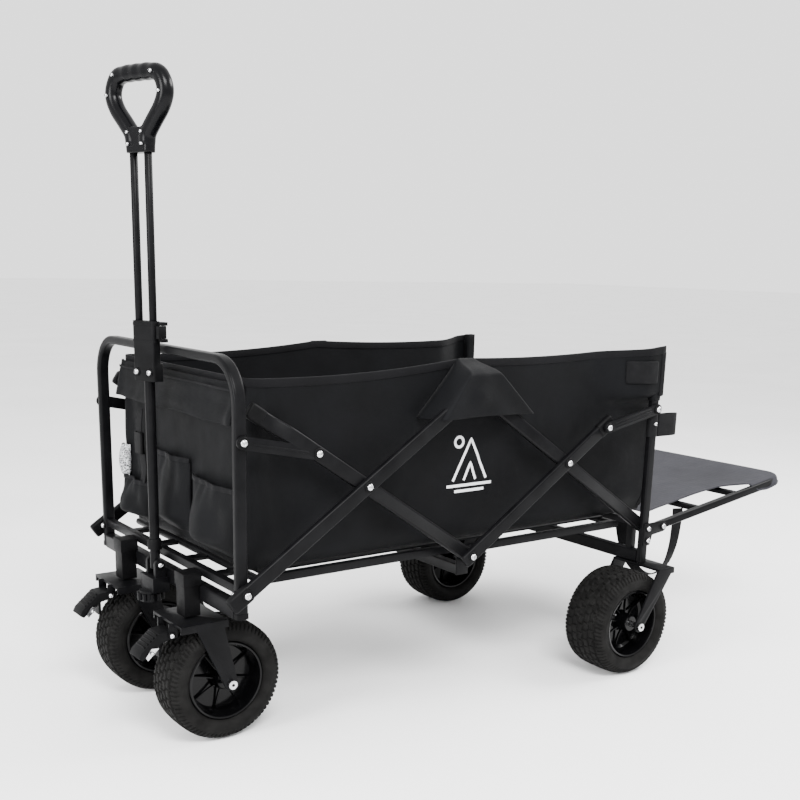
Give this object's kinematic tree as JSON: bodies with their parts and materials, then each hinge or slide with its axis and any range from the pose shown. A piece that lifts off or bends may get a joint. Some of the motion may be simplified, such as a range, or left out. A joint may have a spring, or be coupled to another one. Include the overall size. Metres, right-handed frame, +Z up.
{
  "type": "folding camp wagon",
  "caption": "Folding four-wheel pull wagon: fabric tub on side scissors, swivelling front wheels, telescopic handle and hinged tailgate.",
  "frame": {"origin": "on the ground under the middle of the bounding box, with the tailgate down and the handle up", "axes": "+X towards the pull handle, +Y to the wagon's left, +Z up"},
  "size_m": [1.2954, 0.62, 0.9624],
  "materials": {
    "fabric_black": "woven polyester",
    "fabric_grey": "woven polyester",
    "gloss": "gloss black",
    "plastic": "matte black",
    "steel": "charcoal powder coat",
    "tyre": "matte",
    "webbing": "webbing",
    "zinc": "bright zinc"
  },
  "bodies": {
    "front_frame": {"front_hoop": "steel", "caster_beam": "steel", "front_floor_bar": "steel", "caster_housing_left": "plastic", "caster_housing_right": "plastic", "handle_hub": "steel", "front_panel": "fabric_black", "side_fabric_left": "fabric_black", "side_fabric_right": "fabric_black"},
    "handle_stem": {"handle_tube": "steel", "handle_clamp": "plastic"},
    "clamp_lever": {"clamp_lever": "plastic"},
    "handle_slider": {"handle_rod_left": "steel", "handle_rod_right": "steel", "handle_grip": "gloss"},
    "rear_frame": {"rear_post_left": "steel", "rear_post_right": "steel", "rear_beam": "steel", "rear_floor_bar": "steel", "rear_fork_left": "steel", "rear_fork_right": "steel", "rear_axle_left": "zinc", "rear_axle_right": "zinc", "tail_hinge_plate_left": "steel", "tail_hinge_plate_right": "steel"},
    "tailgate": {"tail_frame": "steel", "tail_fabric": "fabric_grey", "tail_pull_strap": "webbing"},
    "floor_front": {"floor_frame_front": "steel", "floor_mat_front": "fabric_black"},
    "floor_rear": {"floor_frame_rear": "steel", "floor_mat_rear": "fabric_black"},
    "centre_beam": {"centre_beam": "steel"},
    "front_outer_bar_left": {"front_outer_bar_left": "steel"},
    "front_inner_bar_left": {"front_inner_bar_left": "steel"},
    "rear_outer_bar_left": {"rear_outer_bar_left": "steel"},
    "rear_inner_bar_left": {"rear_inner_bar_left": "steel"},
    "front_link_left": {"front_link_left": "steel"},
    "rear_link_left": {"rear_link_left": "steel"},
    "caster_left": {"caster_fork_left": "steel", "caster_axle_left": "zinc"},
    "caster_wheel_left": {"caster_tyre_left": "tyre", "caster_rim_left": "gloss"},
    "brake_pedal_left": {"brake_pedal_left": "plastic"},
    "rear_wheel_left": {"rear_tyre_left": "tyre", "rear_rim_left": "gloss"},
    "front_outer_bar_right": {"front_outer_bar_right": "steel"},
    "front_inner_bar_right": {"front_inner_bar_right": "steel"},
    "rear_outer_bar_right": {"rear_outer_bar_right": "steel"},
    "rear_inner_bar_right": {"rear_inner_bar_right": "steel"},
    "front_link_right": {"front_link_right": "steel"},
    "rear_link_right": {"rear_link_right": "steel"},
    "caster_right": {"caster_fork_right": "steel", "caster_axle_right": "zinc"},
    "caster_wheel_right": {"caster_tyre_right": "tyre", "caster_rim_right": "gloss"},
    "brake_pedal_right": {"brake_pedal_right": "plastic"},
    "rear_wheel_right": {"rear_tyre_right": "tyre", "rear_rim_right": "gloss"}
  },
  "joints": [
    {"name": "fold", "type": "hinge", "parent": "front_frame", "child": "front_outer_bar_left", "pos_m": [0.54, 0.2515, 0.258], "axis": [0, 1, 0], "range_deg": [0, 39.6], "deforming": ["side_fabric_left", "side_fabric_right", "floor_mat_front", "floor_mat_rear"]},
    {"name": "front_cross_pivot_left", "type": "hinge", "parent": "front_outer_bar_left", "child": "front_inner_bar_left", "pos_m": [0.34, 0.2455, 0.39], "axis": [0, 1, 0], "range_deg": [-80.2, 0]},
    {"name": "centre_pivot_left", "type": "hinge", "parent": "front_inner_bar_left", "child": "rear_outer_bar_left", "pos_m": [0.14, 0.2455, 0.258], "axis": [0, 1, 0], "range_deg": [0, 80.2]},
    {"name": "rear_cross_pivot_left", "type": "hinge", "parent": "rear_outer_bar_left", "child": "rear_inner_bar_left", "pos_m": [-0.06, 0.2455, 0.39], "axis": [0, 1, 0], "range_deg": [-80.2, 0]},
    {"name": "front_link_pivot_left", "type": "hinge", "parent": "front_frame", "child": "front_link_left", "pos_m": [0.54, 0.2481, 0.468], "axis": [0, 1, 0], "range_deg": [0, 82.18]},
    {"name": "rear_link_pivot_left", "type": "hinge", "parent": "rear_frame", "child": "rear_link_left", "pos_m": [-0.26, 0.2615, 0.468], "axis": [0, 1, 0], "range_deg": [-82.18, 0]},
    {"name": "front_outer_pivot_right", "type": "hinge", "parent": "front_frame", "child": "front_outer_bar_right", "pos_m": [0.54, -0.2515, 0.258], "axis": [0, 1, 0], "range_deg": [0, 40.6]},
    {"name": "front_cross_pivot_right", "type": "hinge", "parent": "front_outer_bar_right", "child": "front_inner_bar_right", "pos_m": [0.34, -0.2455, 0.39], "axis": [0, 1, 0], "range_deg": [-80.2, 0]},
    {"name": "centre_pivot_right", "type": "hinge", "parent": "front_inner_bar_right", "child": "rear_outer_bar_right", "pos_m": [0.14, -0.2455, 0.258], "axis": [0, 1, 0], "range_deg": [0, 80.2]},
    {"name": "rear_cross_pivot_right", "type": "hinge", "parent": "rear_outer_bar_right", "child": "rear_inner_bar_right", "pos_m": [-0.06, -0.2455, 0.39], "axis": [0, 1, 0], "range_deg": [-80.2, 0]},
    {"name": "front_link_pivot_right", "type": "hinge", "parent": "front_frame", "child": "front_link_right", "pos_m": [0.54, -0.2481, 0.468], "axis": [0, 1, 0], "range_deg": [0, 82.18]},
    {"name": "rear_link_pivot_right", "type": "hinge", "parent": "rear_frame", "child": "rear_link_right", "pos_m": [-0.26, -0.2615, 0.468], "axis": [0, 1, 0], "range_deg": [-82.18, 0]},
    {"name": "rear_frame_pivot", "type": "hinge", "parent": "rear_inner_bar_left", "child": "rear_frame", "pos_m": [-0.26, 0.2395, 0.258], "axis": [0, 1, 0], "range_deg": [0, 40.6]},
    {"name": "centre_beam_pivot", "type": "hinge", "parent": "front_inner_bar_left", "child": "centre_beam", "pos_m": [0.14, 0.231, 0.258], "axis": [0, 1, 0], "range_deg": [0, 40.6]},
    {"name": "floor_hinge_front", "type": "hinge", "parent": "front_frame", "child": "floor_front", "pos_m": [0.495, 0, 0.262], "axis": [0, 1, 0], "range_deg": [0, 75.05]},
    {"name": "floor_hinge_rear", "type": "hinge", "parent": "rear_frame", "child": "floor_rear", "pos_m": [-0.215, 0, 0.262], "axis": [0, 1, 0], "range_deg": [-75.05, 0]},
    {"name": "handle_tilt", "type": "hinge", "parent": "front_frame", "child": "handle_stem", "pos_m": [0.561, 0, 0.248], "axis": [0, 1, 0], "range_deg": [0, 80]},
    {"name": "handle_slide", "type": "slide", "parent": "handle_stem", "child": "handle_slider", "axis": [0, 0, 1], "range_m": [-0.225, 0]},
    {"name": "clamp_lever_pivot", "type": "hinge", "parent": "handle_stem", "child": "clamp_lever", "pos_m": [0.54576, 0.0242, 0.6], "axis": [0, 0, 1], "range_deg": [0, 110]},
    {"name": "tailgate_hinge", "type": "hinge", "parent": "rear_frame", "child": "tailgate", "pos_m": [-0.3, 0, 0.255], "axis": [0, 1, 0], "range_deg": [0, 81.6]},
    {"name": "caster_swivel_left", "type": "hinge", "parent": "front_frame", "child": "caster_left", "pos_m": [0.561, 0.1155, 0.2], "axis": [0, 0, 1], "continuous": true},
    {"name": "caster_wheel_spin_left", "type": "hinge", "parent": "caster_left", "child": "caster_wheel_left", "pos_m": [0.517, 0.1155, 0.093], "axis": [0, 1, 0], "continuous": true},
    {"name": "brake_pedal_pivot_left", "type": "hinge", "parent": "caster_left", "child": "brake_pedal_left", "pos_m": [0.598, 0.1155, 0.176], "axis": [0, 1, 0], "range_deg": [0, 20]},
    {"name": "rear_wheel_spin_left", "type": "hinge", "parent": "rear_frame", "child": "rear_wheel_left", "pos_m": [-0.209, 0.2505, 0.093], "axis": [0, 1, 0], "continuous": true},
    {"name": "caster_swivel_right", "type": "hinge", "parent": "front_frame", "child": "caster_right", "pos_m": [0.561, -0.1155, 0.2], "axis": [0, 0, 1], "continuous": true},
    {"name": "caster_wheel_spin_right", "type": "hinge", "parent": "caster_right", "child": "caster_wheel_right", "pos_m": [0.517, -0.1155, 0.093], "axis": [0, 1, 0], "continuous": true},
    {"name": "brake_pedal_pivot_right", "type": "hinge", "parent": "caster_right", "child": "brake_pedal_right", "pos_m": [0.598, -0.1155, 0.176], "axis": [0, 1, 0], "range_deg": [0, 20]},
    {"name": "rear_wheel_spin_right", "type": "hinge", "parent": "rear_frame", "child": "rear_wheel_right", "pos_m": [-0.209, -0.2505, 0.093], "axis": [0, 1, 0], "continuous": true}
  ],
  "couplings": [
    {"joint": "front_cross_pivot_left", "follows": "fold", "ratio": -2},
    {"joint": "centre_pivot_left", "follows": "fold", "ratio": 2},
    {"joint": "rear_cross_pivot_left", "follows": "fold", "ratio": -2},
    {"joint": "front_link_pivot_left", "follows": "fold", "ratio": 2.05},
    {"joint": "rear_link_pivot_left", "follows": "fold", "ratio": -2.05},
    {"joint": "front_outer_pivot_right", "follows": "fold", "ratio": 1},
    {"joint": "front_cross_pivot_right", "follows": "fold", "ratio": -2},
    {"joint": "centre_pivot_right", "follows": "fold", "ratio": 2},
    {"joint": "rear_cross_pivot_right", "follows": "fold", "ratio": -2},
    {"joint": "front_link_pivot_right", "follows": "fold", "ratio": 2.05},
    {"joint": "rear_link_pivot_right", "follows": "fold", "ratio": -2.05},
    {"joint": "rear_frame_pivot", "follows": "fold", "ratio": 1},
    {"joint": "centre_beam_pivot", "follows": "fold", "ratio": 1},
    {"joint": "floor_hinge_front", "follows": "fold", "ratio": 1.87},
    {"joint": "floor_hinge_rear", "follows": "fold", "ratio": -1.87}
  ]
}
